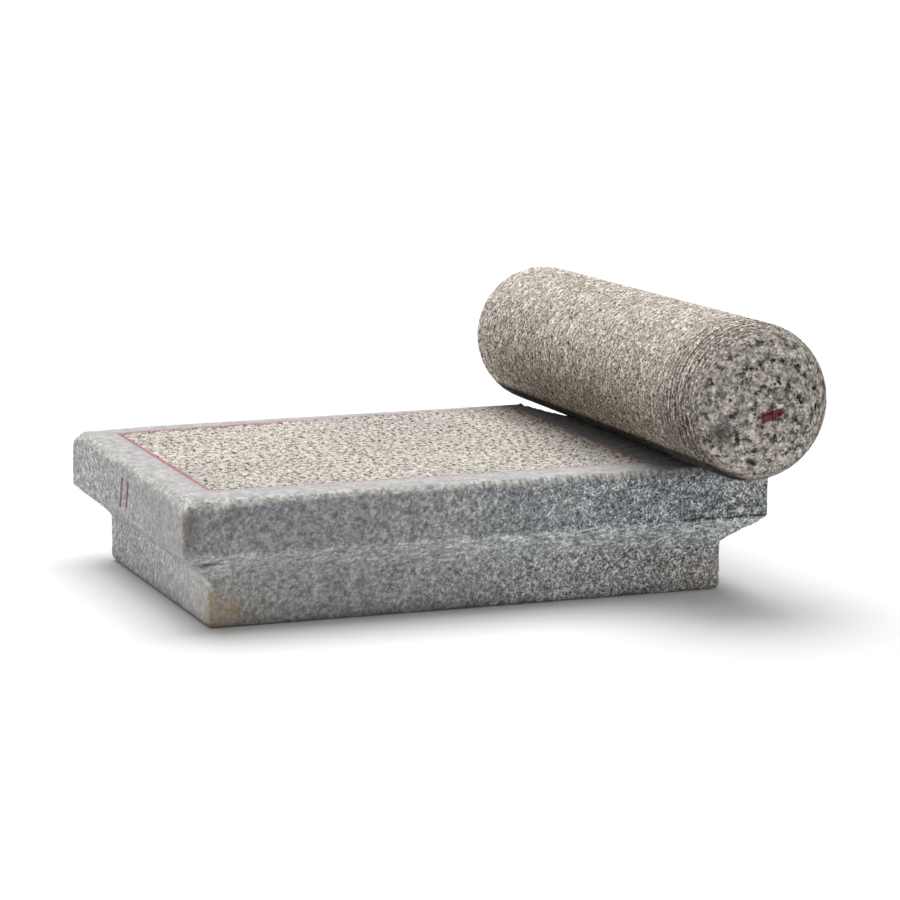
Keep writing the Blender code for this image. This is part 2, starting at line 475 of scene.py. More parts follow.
@dataclass(frozen=True)
class RollerFinish:
    """The roller's stone colours, the painted shade of its underside and far rim, and its painted contact
    shadow, as maker's chips, and its roughness.
    """

    body: tuple[float, ...] = paint_chip(254, 244, 230)
    pit: tuple[float, ...] = paint_chip(56, 48, 40)
    end: tuple[float, ...] = paint_chip(192, 184, 174)
    dark_grain: tuple[float, ...] = paint_chip(26, 26, 27)
    crystal: tuple[float, ...] = paint_chip(206, 210, 220)
    # also the painted shade on the far dome's rim
    grime: tuple[float, ...] = paint_chip(112, 102, 88)
    # painted shade, multiplied over the lower left side of the body
    shade: tuple[float, ...] = paint_chip(190, 186, 181)
    # painted contact shadow along the bottom where the roller rests on the slab
    contact_shadow: tuple[float, ...] = paint_chip(30, 26, 22)
    paint: tuple[float, ...] = paint_chip(112, 20, 48)
    roughness: float = 0.88


class StoneMaterial:
    """The parts that a granite material is wired from."""

    def __init__(self, name: str, patterns: StonePatterns, roughness: float) -> None:
        """Start a material with its shader and object coordinates.

        Args:
            name: the material's name.
            patterns: the shared node groups.
            roughness: the stone's plain roughness.
        """
        self.material = bpy.data.materials.new(name)
        self.material.use_nodes = True
        self.patterns = patterns
        self.graph = NodeGraph(self.material.node_tree)
        self.shader = self.material.node_tree.nodes["Principled BSDF"]
        self.shader.inputs["Roughness"].default_value = roughness
        self.shader.inputs["Specular IOR Level"].default_value = STONE_SHEEN
        self.place = self.graph.add("ShaderNodeTexCoord").outputs["Object"]

    def carried(self, attribute: Attribute) -> Value:
        """A value that the mesh carries."""
        node = self.graph.add("ShaderNodeAttribute", attribute_name=attribute.value)
        return self.graph.named(node)["Fac"]

    def group(self, tree: bpy.types.NodeTree, **values: Any) -> dict[str, Value]:
        """Place a shared group.

        Args:
            tree: the group.
            values: its inputs by name, with underscores for spaces.

        Returns:
            The group's outputs by name.
        """
        inputs = {name.replace("_", " ").title(): value for name, value in values.items()}
        return self.graph.named(self.graph.add("ShaderNodeGroup", inputs, node_tree=tree))

    def grain(self, vector: Any, size: float, dark_level: float | None = None) -> dict[str, Value]:
        """Granite's crystals of one size, with more dark ones at a higher level."""
        return self.group(self.patterns.grain, vector=vector, grain=size, dark_level=dark_level)

    def toned(self, colour: Any, *tones: tuple[Any, Any]) -> bpy.types.NodeSocket:
        """A colour made darker and lighter by running tones.

        Args:
            colour: the plain colour.
            tones: each tone, 0 for dark and 1 for light, with how far it moves the colour each way, as a
                share of itself.

        Returns:
            The toned colour.
        """
        for tone, swing in tones:
            centred = self.graph.math("MULTIPLY_ADD", tone, 2.0, -1.0)
            factor = self.graph.math("MULTIPLY_ADD", centred, swing, 1.0)
            colour = self.graph.tint(1.0, colour, factor, blend="MULTIPLY")
        return colour

    def covered(self, colour: Any, over: Any, *masks: Any) -> bpy.types.NodeSocket:
        """A colour with another laid over it through several masks in turn.

        Args:
            colour: the lower colour.
            over: the colour laid over it.
            masks: how much of it each layer shows.

        Returns:
            The covered colour.
        """
        for mask in masks:
            colour = self.graph.tint(mask, colour, over)
        return colour

    def most(self, masks: Iterable[Value]) -> Value:
        """The greatest of several masks."""
        return functools.reduce(functools.partial(self.graph.math, "MAXIMUM"), masks)

    def stroke(self, across: Any, beyond: Any, width: Any, wear: Any) -> Value:
        """The paint of one brush stroke, from the distances across it and past its ends."""
        return self.group(self.patterns.stroke, vector=self.place, across=across, beyond_end=beyond,
                          width=width, wear=wear)["Paint"]

    def stain(self, centre: tuple[float, ...], spread: tuple[float, ...], break_up: float,
              place: Any = None) -> Value:
        """A soft, broken patch.

        Args:
            centre: its middle.
            spread: its reach along each axis.
            break_up: how ragged it is.
            place: the point looked at, or None for the object's own coordinates.

        Returns:
            1 in the patch, 0 outside.
        """
        where = self.place if place is None else place
        return self.group(self.patterns.stain, vector=where, centre=centre, spread=spread,
                          break_up=break_up)["Stain"]

    def skin(self, vector: Any, grain: float) -> Value:
        """The height of the stone's finest roughness."""
        return self.group(self.patterns.skin, vector=vector, grain=grain)["Height"]

    def finish(self, colour: Any, height: Any, depth: float) -> bpy.types.Material:
        """Wire the colour and the bump into the shader.

        Args:
            colour: the base colour's socket.
            height: the fine relief from 0 to 1.
            depth: what a height of 1 measures, in metres.

        Returns:
            The finished material.
        """
        bump = self.graph.add("ShaderNodeBump", {"Strength": 1.0, "Distance": depth, "Height": height})
        self.graph.feed(self.shader.inputs["Base Color"], colour)
        self.graph.feed(self.shader.inputs["Normal"], bump.outputs["Normal"])
        return self.material


def modifier_graph(name: str, inputs: dict[str, tuple[str, ...]]) -> tuple[NodeGraph, dict[str, Value]]:
    """An empty geometry tree with named inputs.

    Args:
        name: the tree's name.
        inputs: the names of its inputs by kind, after the geometry and its material.

    Returns:
        The tree's graph, and its inputs by name.
    """
    tree = bpy.data.node_groups.new(name, "GeometryNodeTree")
    new_socket(tree, "Geometry", "Geometry")
    new_socket(tree, "Material", "Material")
    for kind, names in inputs.items():
        for input_name in names:
            new_socket(tree, input_name, kind)
    new_socket(tree, "Geometry", "Geometry", incoming=False)
    graph = NodeGraph(tree)
    return graph, graph.named(graph.add("NodeGroupInput"))


def shape_by_nodes(piece: bpy.types.Object, tree: bpy.types.NodeTree, values: dict[str, Any]) -> None:
    """Run a geometry tree on an object, and keep what it makes as the object's own plain mesh.

    Args:
        piece: the object.
        tree: the geometry tree.
        values: the tree's inputs by name, set by their sockets' identifiers.
    """
    modifier = piece.modifiers.new(tree.name, "NODES")
    modifier.node_group = tree
    for item in tree.interface.items_tree:
        if item.item_type == "SOCKET" and item.in_out == "INPUT" and item.name in values:
            modifier[item.identifier] = values[item.name]
    depsgraph = bpy.context.evaluated_depsgraph_get()
    evaluated = piece.evaluated_get(depsgraph)
    mesh = bpy.data.meshes.new_from_object(evaluated, preserve_all_data_layers=True, depsgraph=depsgraph)
    piece.modifiers.clear()
    piece.data = mesh
    mesh.shade_smooth()


def with_attributes(graph: NodeGraph, geometry: Any, carried: dict[Attribute, Any]) -> Any:
    """Store values on a mesh's points.

    Args:
        graph: the geometry tree being wired.
        geometry: the mesh's socket.
        carried: the value of each attribute.

    Returns:
        The socket of the mesh that carries them.
    """
    for attribute, value in carried.items():
        inputs = {"Geometry": geometry, "Name": attribute.value, "Value": value}
        store = graph.add("GeometryNodeStoreNamedAttribute", inputs, data_type="FLOAT", domain="POINT")
        geometry = store.outputs[0]
    return geometry


def dress_output(graph: NodeGraph, geometry: Any, material: Any) -> None:
    """End a geometry tree: real geometry, its material and the group's output.

    Args:
        graph: the geometry tree being wired.
        geometry: the finished mesh's socket.
        material: the material's socket.
    """
    real = graph.add("GeometryNodeRealizeInstances", {"Geometry": geometry}).outputs[0]
    finished = graph.add("GeometryNodeSetMaterial", {"Geometry": real, "Material": material}).outputs[0]
    graph.feed(graph.add("NodeGroupOutput").inputs[0], finished)


def inside_field(graph: NodeGraph, point: tuple[Any, Any], middle: tuple[Any, Any],
                 half: tuple[Any, Any], slants: tuple[Any, Any]) -> tuple[Value, ...]:
    """How far a point of the top lies inside the painted frame.

    Args:
        graph: the tree being wired.
        point: the point's place along and across the slab.
        middle: the frame's middle.
        half: half its length and width.
        slants: the lean of its right side and of its far side, in metres per metre.

    Returns:
        The least distance inside, and the distances past the right side, past the far side and past
        either long side.
    """
    along = point[0] - middle[0]
    across = point[1] - middle[1]
    right = along - half[0] - across * slants[0]
    left = along * -1.0 - half[0]
    far = across - half[1] - along * slants[1]
    near = across * -1.0 - half[1]
    past_sides = graph.math("MAXIMUM", near, far)
    outside = graph.math("MAXIMUM", graph.math("MAXIMUM", left, right), past_sides)
    return outside * -1.0, right, far, past_sides


def crevice_line(graph: NodeGraph, place: Any, height: Any, start: Any) -> Value:
    """The crack that wanders along the front under the block, towards its right end.

    Args:
        graph: the tree being wired.
        place: the point in the stone.
        height: the crack's height.
        start: where it begins along the slab.

    Returns:
        1 in the crack, 0 outside.
    """
    x, _, z = graph.split(place)
    meander = (graph.noise(place, 90.0) - 0.5) * (2.5 * MM)
    off_line = abs(z - height + meander)
    line = graph.step(off_line, 0.8 * MM, 0.25 * MM)
    grown = graph.step(x - start, 0.0, 12.0 * MM)
    broken = graph.step(graph.noise(place, 300.0), 0.36, 0.46)
    return line * grown * broken


def linked_object(name: str, data: Any) -> bpy.types.Object:
    """A new object in the scene at the origin.

    Args:
        name: its name.
        data: its mesh, light or camera.

    Returns:
        The object.
    """
    piece = bpy.data.objects.new(name, data)
    bpy.context.scene.collection.objects.link(piece)
    return piece


@dataclass
class GrindingSlab:
    """The slab: an upper block, its undercut and its plinth, cut from one stone."""

    node: str = "grinding_slab"
    block_wall_height: float = 23.0 * MM
    block_corner_radius: float = 1.6 * MM
    block_lower_arris: float = 1.2 * MM
    top_arris: float = 3.0 * MM
    worn_corner_extra: float = 2.2 * MM
    worn_left_extra: float = 3.6 * MM
    worn_corner_reach: float = 24.0 * MM
    undercut_rise: float = 11.5 * MM
    plinth_height: float = 20.5 * MM
    plinth_setback_left: float = 13.6 * MM
    plinth_setback_right: float = 16.0 * MM
    plinth_setback_sides: float = 11.8 * MM
    plinth_corner_radius: float = 2.0 * MM
    foot_rounding: float = 2.8 * MM
    neck_fillet: float = 1.2 * MM
    spall_along: float = 45.0 * MM
    spall_inwards: float = 52.0 * MM
    spall_depth: float = 7.6 * MM
    spall_bowl_rise: float = 8.0 * MM
    spall_overshoot: float = 6.0 * MM
    fracture_arris: float = 0.5 * MM
    frame_left: float = 16.9 * MM
    frame_right: float = 50.4 * MM
    frame_front: float = 18.5 * MM
    frame_back: float = 9.4 * MM
    frame_slants: tuple[float, float] = (-0.018, 0.060)
    crevice_height: float = 33.0 * MM
    crevice_reach: float = 44.0 * MM
    crevice_depth: float = 0.9 * MM
    tally_height: float = 42.4 * MM
    tally_length: float = 13.0 * MM
    tally_width: float = 2.6 * MM
    tally_lean: float = -0.26
    tally_places: tuple[float, ...] = (88.0 * MM, 79.3 * MM)
    peck_size: float = 2.1 * MM
    peck_depth: float = 0.85 * MM
    field_sink: float = 0.30 * MM
    wall_depth: float = 0.55 * MM
    groove_depth: float = 0.70 * MM
    chip_depth: float = 0.90 * MM
    colour_relief: float = 0.45 * MM
    field_cell: float = 0.82 * MM
    border_cell: float = 1.3 * MM
    wall_cell: float = 1.5 * MM
    foot_rings: int = 4
    fillet_rings: int = 4
    arris_rings: int = 5

    def __post_init__(self) -> None:
        """Read the slab's place and overall size from the frame."""
        low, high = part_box(self.node)
        self.left = low.x
        self.front = low.y
        self.length = high.x - low.x
        self.width = high.y - low.y
        self.height = high.z
        self.near_height = self.plinth_height + self.undercut_rise + self.block_wall_height

    @property
    def field_box(self) -> tuple[float, float, float, float]:
        """The painted frame round the pecked field: low x, high x, low y, high y."""
        return (self.left + self.frame_left, self.left + self.length - self.frame_right,
                self.front + self.frame_front, self.front + self.width - self.frame_back)

    @property
    def field_middle(self) -> tuple[float, float]:
        """The middle of the painted frame."""
        low_x, high_x, low_y, high_y = self.field_box
        return 0.5 * (low_x + high_x), 0.5 * (low_y + high_y)

    @property
    def field_half(self) -> tuple[float, float]:
        """Half the length and half the width of the painted frame."""
        low_x, high_x, low_y, high_y = self.field_box
        return 0.5 * (high_x - low_x), 0.5 * (high_y - low_y)

    def _grid_lines(self, start: float, field_start: float, field_end: float, end: float) -> np.ndarray:
        """Coordinates of the top's grid lines: coarse borders and a fine pecked field.

        Args:
            start: the first line but one.
            field_start: where the fine lines begin.
            field_end: where they end.
            end: the last line but one.

        Returns:
            The coordinates, with one more line at each end.
        """
        spans = ((start, field_start, self.border_cell), (field_start, field_end, self.field_cell),
                 (field_end, end, self.border_cell))
        lines = [np.array([start - self.border_cell, start])]
        for low, high, cell in spans:
            count = max(1, round((high - low) / cell))
            lines.append(np.linspace(low, high, count + 1)[1:])
        return np.concatenate(lines + [np.array([end + self.border_cell])])

    def face_height(self, y: Any) -> Any:
        """The grinding face's height, which rises a little from the near side to the far one."""
        return self.near_height + (self.height - self.near_height) * (y - self.front) / self.width

    def _surface_height(self, x: np.ndarray, y: np.ndarray) -> np.ndarray:
        """The top's height: the grinding face, or the floor of the spall at the far right.

        Args:
            x: places along the slab.
            y: places across it.

        Returns:
            The heights.
        """
        bowl = self.spall_depth + self.spall_bowl_rise
        rim = math.sqrt(1.0 - (self.spall_bowl_rise / bowl) ** 2)
        half_along = 0.5 * (self.spall_along + self.spall_overshoot) / rim
        half_inwards = (self.spall_inwards + self.spall_overshoot) / rim
        centre_x = self.left + self.length - self.spall_along + half_along * rim
        centre_y = self.front + self.width + self.spall_overshoot
        reach = ((x - centre_x) / half_along) ** 2 + ((y - centre_y) / half_inwards) ** 2
        floor = self.height + self.spall_bowl_rise - bowl * np.sqrt(np.clip(1.0 - reach, 0.0, 1.0))
        return np.minimum(self.face_height(y), np.where(reach < 1.0, floor, np.inf))

    def _ring(self, shares: tuple[np.ndarray, np.ndarray], setbacks: tuple[float, float, float],
              radius: float) -> np.ndarray:
        """One loop round the slab's plan.

        Args:
            shares: the grid lines along and across, each from 0 to 1.
            setbacks: how far the loop is drawn in at the left, at the right and at the long sides.
            radius: the rounding of its corners.

        Returns:
            Plan points, counter-clockwise from the front left corner.
        """
        along, across = shares
        low = np.array([self.left + setbacks[0], self.front + setbacks[2]])
        high = np.array([self.left + self.length - setbacks[1], self.front + self.width - setbacks[2]])
        size = high - low
        front = np.stack([low[0] + size[0] * along[:-1], np.full(len(along) - 1, low[1])], 1)
        right = np.stack([np.full(len(across) - 1, high[0]), low[1] + size[1] * across[:-1]], 1)
        back = np.stack([low[0] + size[0] * along[:0:-1], np.full(len(along) - 1, high[1])], 1)
        left = np.stack([np.full(len(across) - 1, low[0]), low[1] + size[1] * across[:0:-1]], 1)
        points = np.concatenate([front, right, back, left])
        radius = max(radius, 0.05 * MM)
        centre = np.clip(points, low + radius, high - radius)
        arm = points - centre
        length = np.linalg.norm(arm, axis=1)
        in_corner = (np.abs(arm) > 1e-9).all(axis=1)
        points[in_corner] = centre[in_corner] + radius * arm[in_corner] / length[in_corner, None]
        return points

    def _profile(self) -> list[tuple[float, float]]:
        """The line up the side, from above the foot to the block's lower arris.

        Returns:
            Pairs of how far it is drawn in, 0 at the block and 1 at the plinth, and of height.
        """
        slope_start = np.array([1.0, self.plinth_height])
        slope_end = np.array([0.0, self.plinth_height + self.undercut_rise])
        neck = self.neck_fillet / self.undercut_rise
        arris = self.block_lower_arris / self.undercut_rise
        above_neck = slope_start + (slope_end - slope_start) * neck
        below_arris = slope_end + (slope_start - slope_end) * arris
        corners = (
            (slope_start - np.array([0.0, self.neck_fillet]), slope_start, above_neck),
            (below_arris, slope_end, slope_end + np.array([0.0, self.block_lower_arris])),
        )
        points = []
        wall_steps = round((self.plinth_height - self.neck_fillet - self.foot_rounding) / self.wall_cell)
        for height in np.linspace(self.foot_rounding, corners[0][0][1], wall_steps + 1)[:-1]:
            points.append((1.0, height))
        for start, corner, end in corners:
            for share in np.linspace(0.0, 1.0, self.fillet_rings):
                first = start + (corner - start) * share
                second = corner + (end - corner) * share
                points.append(tuple(first + (second - first) * share))
        slope_steps = round(1.35 * self.undercut_rise / self.wall_cell)
        slope = [tuple(above_neck + (below_arris - above_neck) * share)
                 for share in np.linspace(0.0, 1.0, slope_steps + 1)[1:-1]]
        points[-self.fillet_rings:-self.fillet_rings] = slope
        return points

    def _drawn_in(self, shares: tuple[np.ndarray, np.ndarray], share: float, rounding: float,
                  height: float) -> np.ndarray:
        """One level loop below the block's wall.

        Args:
            shares: the grid lines along and across, each from 0 to 1.
            share: how far the loop is drawn in, 0 at the block and 1 at the plinth.
            rounding: how much further the rounded foot draws it in.
            height: its height.

        Returns:
            The loop's points.
        """
        setbacks = (self.plinth_setback_left, self.plinth_setback_right, self.plinth_setback_sides)
        corner = self.block_corner_radius + (self.plinth_corner_radius - self.block_corner_radius) * share
        setbacks = tuple(setback * share + rounding for setback in setbacks)
        plan = self._ring(shares, setbacks, corner - rounding)
        return np.column_stack([plan, np.full(len(plan), height)])

    def _arris_radius(self, outer: np.ndarray, top: np.ndarray) -> np.ndarray:
        """The rounding of the top edge: more at the worn corners, and next to none along the break.

        Args:
            outer: the plan points of the block's wall.
            top: the top's height over each.

        Returns:
            The radius at each point.
        """
        x, y = outer[:, 0], outer[:, 1]
        from_corner = np.hypot(np.minimum(x - self.left, self.left + self.length - x),
                               np.minimum(y - self.front, self.front + self.width - y))
        extra = np.where(x < self.left + 0.5 * self.length, self.worn_left_extra, self.worn_corner_extra)
        radius = self.top_arris + extra * np.exp(-((from_corner / self.worn_corner_reach) ** 2))
        return np.where(top < self.face_height(y) - 0.01 * MM, self.fracture_arris, radius)

    def _base_mesh(self) -> bpy.types.Mesh:
        """The slab's smooth closed form, fine enough to carry its relief.

        Returns:
            The mesh.
        """
        widest = self.top_arris + self.worn_left_extra
        rim = widest + self.border_cell
        field_low_x, field_high_x, field_low_y, _ = self.field_box
        last_x = self.left + self.length - widest - self.border_cell
        last_y = self.front + self.width - widest - self.border_cell
        lines_x = self._grid_lines(self.left + rim, field_low_x, field_high_x, last_x)
        lines_y = self._grid_lines(self.front + rim, field_low_y, last_y - 0.1 * MM, last_y)
        shares = tuple((lines - lines[0]) / (lines[-1] - lines[0]) for lines in (lines_x, lines_y))
        rings = []
        for step in range(self.foot_rings):
            angle = 0.5 * math.pi * step / self.foot_rings
            rings.append(self._drawn_in(shares, 1.0, self.foot_rounding * (1.0 - math.sin(angle)),
                                        self.foot_rounding * (1.0 - math.cos(angle))))
        for share, height in self._profile():
            rings.append(self._drawn_in(shares, share, 0.0, height))
        outer = self._ring(shares, (0.0, 0.0, 0.0), self.block_corner_radius)
        inner = self._ring(shares, (widest, widest, widest), 0.0)
        top = self._surface_height(outer[:, 0], outer[:, 1])
        radius = self._arris_radius(outer, top)
        wall_foot = rings[-1][:, 2]
        plain_wall = self.block_wall_height - self.block_lower_arris - self.top_arris
        wall_steps = round(plain_wall / self.wall_cell)
        for share in np.linspace(0.0, 1.0, wall_steps + 1)[1:]:
            rings.append(np.column_stack([outer, wall_foot + (top - radius - wall_foot) * share]))
        for step in range(1, self.arris_rings + 1):
            angle = 0.5 * math.pi * step / self.arris_rings
            setback = radius * (1.0 - math.cos(angle))
            plan = outer + (inner - outer) * (setback / widest)[:, None]
            surface = self._surface_height(plan[:, 0], plan[:, 1])
            rings.append(np.column_stack([plan, surface - radius * (1.0 - math.sin(angle))]))
        return self._stitched(rings, lines_x, lines_y)

    def _stitched(self, rings: list[np.ndarray], lines_x: np.ndarray, lines_y: np.ndarray) -> bpy.types.Mesh:
        """Join the loops and the top's grid into one closed mesh.

        Args:
            rings: loops from the underside up to the rim of the top.
            lines_x: the grid's lines along the slab.
            lines_y: the grid's lines across it.

        Returns:
            The mesh, faces outward.
        """
        around = len(rings[0])
        columns, rows = len(lines_x), len(lines_y)
        grid_x, grid_y = np.meshgrid(lines_x[1:-1], lines_y[1:-1], indexing="ij")
        heights = self._surface_height(grid_x, grid_y)
        inner = np.stack([grid_x, grid_y, heights], -1).reshape(-1, 3)
        points = np.concatenate(rings + [inner])
        index = np.arange(around)
        after = np.roll(index, -1)
        faces = []
        for level in range(len(rings) - 1):
            low, high = level * around, (level + 1) * around
            faces.append(np.stack([low + index, low + after, high + after, high + index], 1))
        rim = (len(rings) - 1) * around
        grid = np.full((columns, rows), -1)
        grid[:-1, 0] = rim + np.arange(columns - 1)
        grid[-1, :-1] = rim + columns - 1 + np.arange(rows - 1)
        grid[:0:-1, -1] = rim + columns + rows - 2 + np.arange(columns - 1)
        grid[0, :0:-1] = rim + 2 * columns + rows - 3 + np.arange(rows - 1)
        grid[1:-1, 1:-1] = len(rings) * around + np.arange(grid_x.size).reshape(grid_x.shape)
        cells = (grid[:-1, :-1], grid[1:, :-1], grid[1:, 1:], grid[:-1, 1:])
        faces.append(np.stack(cells, -1).reshape(-1, 4))
        quads = np.concatenate(faces)
        mesh = bpy.data.meshes.new(self.node)
        mesh.from_pydata(points.tolist(), [], quads.tolist() + [index[::-1].tolist()])
        mesh.validate()
        return mesh

    def _dressing_tree(self) -> bpy.types.NodeTree:
        """Geometry nodes that cut the mason's marks inwards, so the slab stays in its solid's box.

        Returns:
            The tree.
        """
        graph, given = modifier_graph("slab_dressing", {"Float": (
            "Top Height", "Plinth Height", "Field Middle X", "Field Middle Y", "Field Half X",
            "Field Half Y", "Right Slant", "Far Slant", "Peck Size", "Peck Depth", "Field Sink",
            "Wall Depth", "Groove Depth", "Chip Depth", "Crevice Height", "Crevice Start",
            "Crevice Depth")})
        place = graph.add("GeometryNodeInputPosition").outputs[0]
        x, y, z = graph.split(place)
        normal = graph.add("GeometryNodeInputNormal").outputs[0]
        nx, ny, nz = graph.split(normal)
        face = graph.step(nz, 0.80, 0.98)
        arris = graph.step(nz, 0.10, 0.45) * graph.step(given["Top Height"] - z, 7.0 * MM, 3.5 * MM)
        arris = arris * graph.step(nz, 0.995, 0.95)
        undercut = graph.step(nz, -0.15, -0.45) * graph.step(z, 8.0 * MM, 14.0 * MM)
        plinth = graph.step(given["Plinth Height"] - z, -0.4 * MM, 1.2 * MM)
        off_floor = graph.step(z, 0.05 * MM, 0.8 * MM)
        end_wall = graph.step(abs(nx), 0.4, 0.8)

        inside = inside_field(graph, (x, y), (given["Field Middle X"], given["Field Middle Y"]),
                              (given["Field Half X"], given["Field Half Y"]),
                              (given["Right Slant"], given["Far Slant"]))[0]
        pecks = pecked(graph, graph.joined(x, y, 0.0), given["Peck Size"])
        field_cut = graph.math("MULTIPLY_ADD", pecks, given["Peck Depth"], given["Field Sink"])
        field_cut = field_cut * (graph.step(inside, -0.2 * MM, 1.2 * MM) * face)

        wall = graph.math("SUBTRACT", 1.0, graph.math("MAXIMUM", face, undercut), clamp=True)
        wall_depth = given["Wall Depth"] * graph.either(end_wall, 1.0, 0.45)
        wall_cut = dressed(graph, place) * wall_depth * wall
        groove_cut = streaked(graph, place, end_wall) * given["Groove Depth"] * undercut

        chip_where = graph.step(graph.noise(place, 130.0, detail=3.0), 0.46, 0.62)
        chips = graph.step(graph.cells(place, 250.0), 0.62, 0.18) * chip_where
        ticks = graph.step(graph.noise(graph.joined(x, y, z * 0.2), 760.0), 0.58, 0.40)
        arris_cut = (chips + ticks * 0.4) * given["Chip Depth"] * arris

        crevice = crevice_line(graph, place, given["Crevice Height"], given["Crevice Start"])
        crevice_cut = crevice * given["Crevice Depth"] * graph.step(ny, -0.3, -0.7)

        rolling = graph.noise(place, 34.0, detail=2.0) * (0.15 * MM)
        cut = field_cut + wall_cut + (groove_cut + arris_cut)
        cut = (graph.math("MAXIMUM", cut, crevice_cut) + rolling) * off_floor
        geometry = with_attributes(graph, given["Geometry"], {
            Attribute.FACE: face, Attribute.ARRIS: arris, Attribute.UNDERCUT: undercut,
            Attribute.PLINTH: plinth, Attribute.END: end_wall})
        offset = graph.scaled(normal, cut * -1.0)
        moved = graph.add("GeometryNodeSetPosition", {"Geometry": geometry, "Offset": offset}).outputs[0]
        dress_output(graph, moved, given["Material"])
        return graph.tree

    def build(self, material: bpy.types.Material) -> bpy.types.Object:
        """Make the slab, cut its relief and give it its stone.

        Args:
            material: the slab's granite.

        Returns:
            The finished piece.
        """
        piece = linked_object("slab_of_granite", self._base_mesh())
        middle, half = self.field_middle, self.field_half
        shape_by_nodes(piece, self._dressing_tree(), {
            "Material": material, "Top Height": self.height, "Plinth Height": self.plinth_height,
            "Field Middle X": middle[0], "Field Middle Y": middle[1],
            "Field Half X": half[0], "Field Half Y": half[1],
            "Right Slant": self.frame_slants[0], "Far Slant": self.frame_slants[1],
            "Peck Size": self.peck_size, "Peck Depth": self.peck_depth, "Field Sink": self.field_sink,
            "Wall Depth": self.wall_depth, "Groove Depth": self.groove_depth, "Chip Depth": self.chip_depth,
            "Crevice Height": self.crevice_height, "Crevice Depth": self.crevice_depth,
            "Crevice Start": self.left + self.length - self.crevice_reach})
        return piece

    def granite(self, patterns: StonePatterns, finish: SlabFinish) -> bpy.types.Material:
        """The slab's stone: pecked cream field, grey border, bruised arris, darker dressed sides.

        Args:
            patterns: the shared node groups.
            finish: the slab's colours.

        Returns:
            The material.
        """
        stone = StoneMaterial("slab_granite_dressed", patterns, finish.roughness)
        graph = stone.graph
        x, y, z = graph.split(stone.place)
        face, arris, end = (stone.carried(zone) for zone in (Attribute.FACE, Attribute.ARRIS, Attribute.END))
        inside, *past = inside_field(graph, (x, y), self.field_middle, self.field_half, self.frame_slants)
        fine = stone.grain(stone.place, 2.0 * MM)
        coarse = stone.grain(stone.place, 5.5 * MM)

        pecks = pecked(graph, graph.joined(x, y, 0.0), self.peck_size)
        drift = graph.step(coarse["Mottle"], 0.38, 0.62)
        ridge = stone.toned(finish.pecked_ridge, (fine["Tone"], 0.22))
        ridge = graph.tint(drift * 0.5, ridge, finish.pecked_grey)
        field = graph.tint(pecks * graph.either(drift, 0.92, 1.0), ridge, finish.pecked_pit)
        border = stone.toned(finish.border, (fine["Tone"], 0.14), (coarse["Tone"], 0.12))
        halo = graph.step(abs(inside + 2.0 * MM), 4.0 * MM, 0.0)
        halo = halo * graph.step(coarse["Tone"], 0.1, 0.9, 0.10, 0.42)
        border = graph.tint(halo, border, finish.lilac)
        top = graph.tint(graph.step(inside, -0.6 * MM, 0.8 * MM), border, field)
        sides, side_marks = self._side_colour(stone, finish, (fine, coarse), (x, y))
        colour = graph.tint(face, sides, top)

        ticks = graph.step(graph.noise(graph.joined(x, y * 0.1, 0.0), 620.0, detail=1.0), 0.56, 0.40)
        along_side = graph.math("SUBTRACT", 1.0, end, clamp=True)
        ticked = ticks * (along_side * graph.step(x, -50.0 * MM, 30.0 * MM, 0.1, 0.5))
        bruised = stone.toned(finish.bruised, (fine["Tone"], 0.24))
        bruised = stone.covered(bruised, finish.dark_grain, fine["Dark"] * 0.30, ticked)
        bruise = arris * graph.step(coarse["Tone"], 0.05, 0.45, 0.45, 1.0)
        colour = graph.tint(bruise, colour, bruised)

        colour = graph.tint(self._frame_paint(stone, (x, y), past) * face, colour, finish.paint)
        colour = graph.tint(self._tally_paint(stone, (x, y, z)), colour, finish.old_paint)
        colour = self._weathering(stone, finish, colour, z, coarse)
        marks = graph.tint(face, side_marks, pecks * graph.step(inside, 0.0, 1.0 * MM))
        height = stone.skin(stone.place, 1.1 * MM) * graph.either(face, 1.3, 0.5) - marks
        return stone.finish(colour, height, self.colour_relief)

    def _side_colour(self, stone: StoneMaterial, finish: SlabFinish, grains: tuple[Any, Any],
                     point: tuple[Any, Any]) -> tuple[Any, Value]:
        """The dressed sides: block wall, undercut, plinth and the smoother left end, with painted light on
        the front towards the right, on the plinth and on the far part of the left end.

        Args:
            stone: the material being wired.
            finish: the slab's colours.
            grains: the outputs of the fine and of the coarse grain.
            point: the places along and across the slab.

        Returns:
            The colour, and the mask of the chisel marks.
        """
        graph = stone.graph
        fine, coarse = grains
        x, y = point
        undercut = stone.carried(Attribute.UNDERCUT)
        plinth = stone.carried(Attribute.PLINTH)
        end = stone.carried(Attribute.END)
        left_end = end * graph.step(x, 0.0, -10.0 * MM)
        towards_right = graph.step(x, -70.0 * MM, 105.0 * MM)
        near_left = left_end * graph.step(y, self.front + self.width, self.front)
        sides = graph.tint(left_end, finish.wall, finish.end_wall)
        sides = graph.tint(plinth, sides, finish.plinth)
        sides = graph.tint(undercut * 0.9, sides, finish.undercut)
